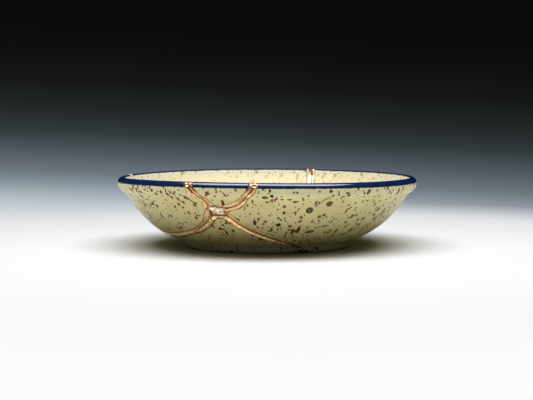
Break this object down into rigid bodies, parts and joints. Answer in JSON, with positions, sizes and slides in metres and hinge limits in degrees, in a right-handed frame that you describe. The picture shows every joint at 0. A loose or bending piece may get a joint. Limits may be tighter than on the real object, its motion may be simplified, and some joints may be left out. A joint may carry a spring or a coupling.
{
  "type": "kintsugi plate",
  "caption": "Shallow footed stoneware dish with a flared rim, broken into sherds and rejoined with wide gold lacquer seams.",
  "frame": {"origin": "centre of the foot ring's underside, on the surface that the plate stands on", "axes": "+Z is the dish's turning axis, up through its mouth; -Y faces the viewer, towards the patch where the seams meet; +X is to the viewer's right"},
  "size_m": [0.2002, 0.2002, 0.0477],
  "materials": {
    "front_glaze": "speckled olive glaze with a cobalt line on the rim",
    "left_glaze": "speckled olive glaze with a cobalt line on the rim",
    "back_glaze": "speckled olive glaze with a cobalt line on the rim",
    "right_glaze": "speckled olive glaze with a cobalt line on the rim",
    "gold_lacquer": "gold powder on lacquer, satin and a little worn"
  },
  "bodies": {
    "root": {"sherd_front": "front_glaze", "sherd_left": "left_glaze", "sherd_back": "back_glaze", "sherd_right": "right_glaze", "gold_seams": "gold_lacquer"}
  },
  "joints": []
}
